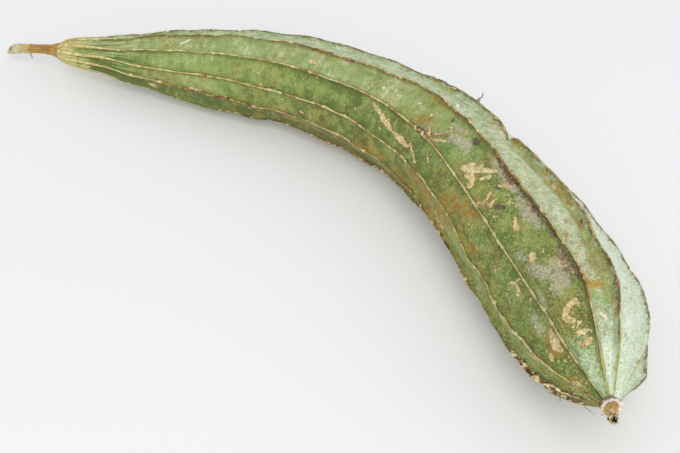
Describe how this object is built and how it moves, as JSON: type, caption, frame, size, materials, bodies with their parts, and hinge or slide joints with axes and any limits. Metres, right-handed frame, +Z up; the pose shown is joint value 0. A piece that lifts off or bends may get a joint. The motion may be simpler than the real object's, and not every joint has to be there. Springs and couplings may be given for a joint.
{
  "type": "ridge gourd",
  "caption": "Curved, club-shaped ridge gourd lying on its side, with sharp lengthwise ridges, a cut stem and the dried remains of its flower.",
  "frame": {"origin": "on the surface that the gourd lies on, under the middle of its bounding box", "axes": "+X from the stem end to the blossom end, +Y towards the outside of its bend, +Z up"},
  "size_m": [0.4432, 0.137, 0.0683],
  "materials": {
    "skin": "ridged green skin with a waxy bloom, straw-coloured crests and corky scars",
    "stem": "dry brown stalk, pale and frayed where it was cut",
    "collar": "dried, pale, papery flower base",
    "stub": "dried, ochre-brown style, ragged at its tip"
  },
  "bodies": {
    "root": {"fruit": "skin", "stem": "stem", "flower_collar": "collar", "style_stub": "stub"}
  },
  "joints": []
}
